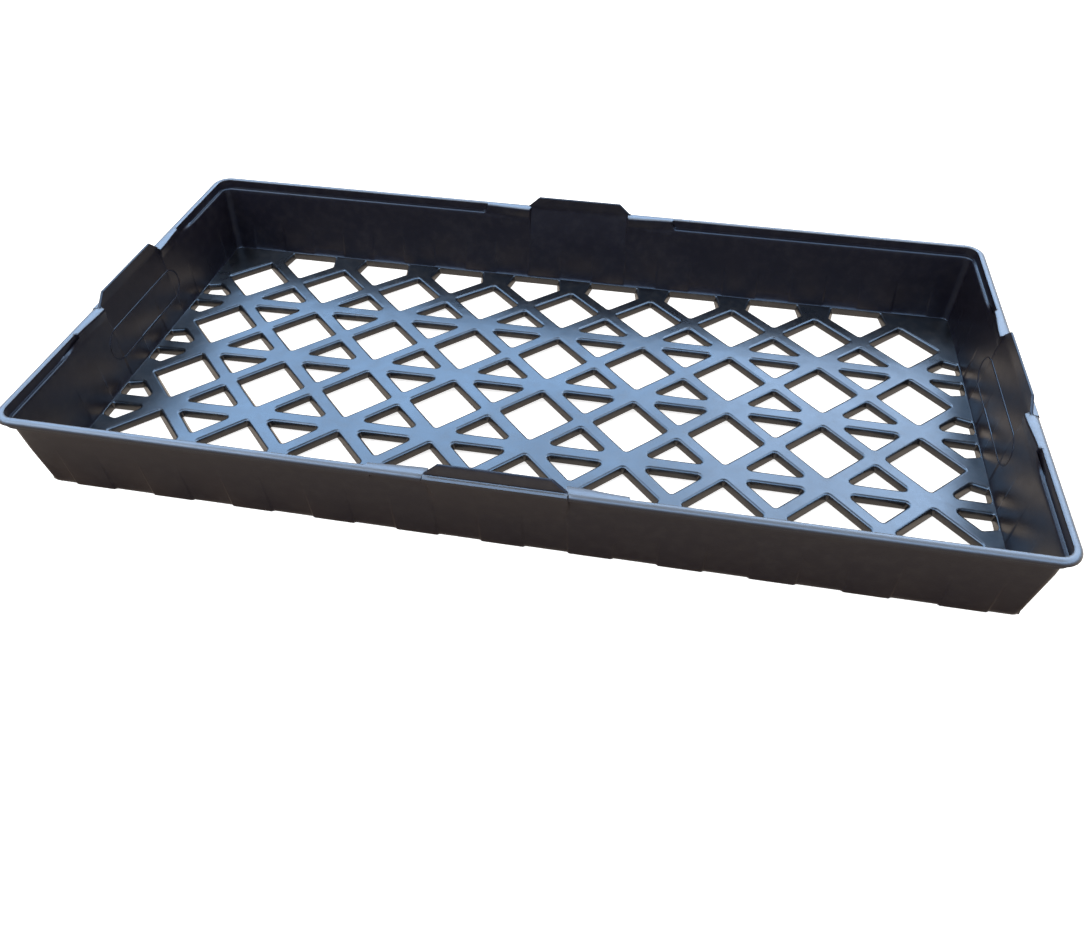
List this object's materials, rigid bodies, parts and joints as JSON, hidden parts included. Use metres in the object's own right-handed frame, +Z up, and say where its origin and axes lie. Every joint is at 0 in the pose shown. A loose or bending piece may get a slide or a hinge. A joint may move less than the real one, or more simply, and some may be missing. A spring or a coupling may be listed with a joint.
{
  "type": "mesh-bottom carrier tray",
  "caption": "Black moulded plastic nursery carrier tray: open diamond mesh floor, low fluted walls, stepped rolled rim and a raised grip tab on each side",
  "frame": {"origin": "centre of the base, on the bench", "axes": "+X along the length, +Y to the rear long side, +Z up"},
  "size_m": [0.546, 0.28, 0.0643],
  "materials": {
    "moulded_polypropylene": "satin"
  },
  "bodies": {
    "root": {"floor_mesh_row_1": "moulded_polypropylene", "floor_mesh_row_2": "moulded_polypropylene", "floor_mesh_row_3": "moulded_polypropylene", "floor_mesh_row_4": "moulded_polypropylene", "floor_bar_rear": "moulded_polypropylene", "floor_bar_middle": "moulded_polypropylene", "floor_bar_front": "moulded_polypropylene", "floor_edge_front": "moulded_polypropylene", "floor_edge_rear": "moulded_polypropylene", "floor_edge_left": "moulded_polypropylene", "floor_edge_right": "moulded_polypropylene", "floor_gusset_front_left": "moulded_polypropylene", "floor_gusset_front_right": "moulded_polypropylene", "floor_gusset_rear_left": "moulded_polypropylene", "floor_gusset_rear_right": "moulded_polypropylene", "wall_front": "moulded_polypropylene", "wall_rear": "moulded_polypropylene", "wall_left": "moulded_polypropylene", "wall_right": "moulded_polypropylene", "wall_corner_front_left": "moulded_polypropylene", "wall_corner_front_right": "moulded_polypropylene", "wall_corner_rear_left": "moulded_polypropylene", "wall_corner_rear_right": "moulded_polypropylene", "grip_front": "moulded_polypropylene", "grip_rear": "moulded_polypropylene", "grip_left": "moulded_polypropylene", "grip_right": "moulded_polypropylene", "rim_front_left": "moulded_polypropylene", "rim_front_right": "moulded_polypropylene", "rim_rear_left": "moulded_polypropylene", "rim_rear_right": "moulded_polypropylene", "rim_left_front": "moulded_polypropylene", "rim_left_rear": "moulded_polypropylene", "rim_right_front": "moulded_polypropylene", "rim_right_rear": "moulded_polypropylene", "rim_corner_front_left": "moulded_polypropylene", "rim_corner_front_right": "moulded_polypropylene", "rim_corner_rear_left": "moulded_polypropylene", "rim_corner_rear_right": "moulded_polypropylene"}
  },
  "joints": []
}
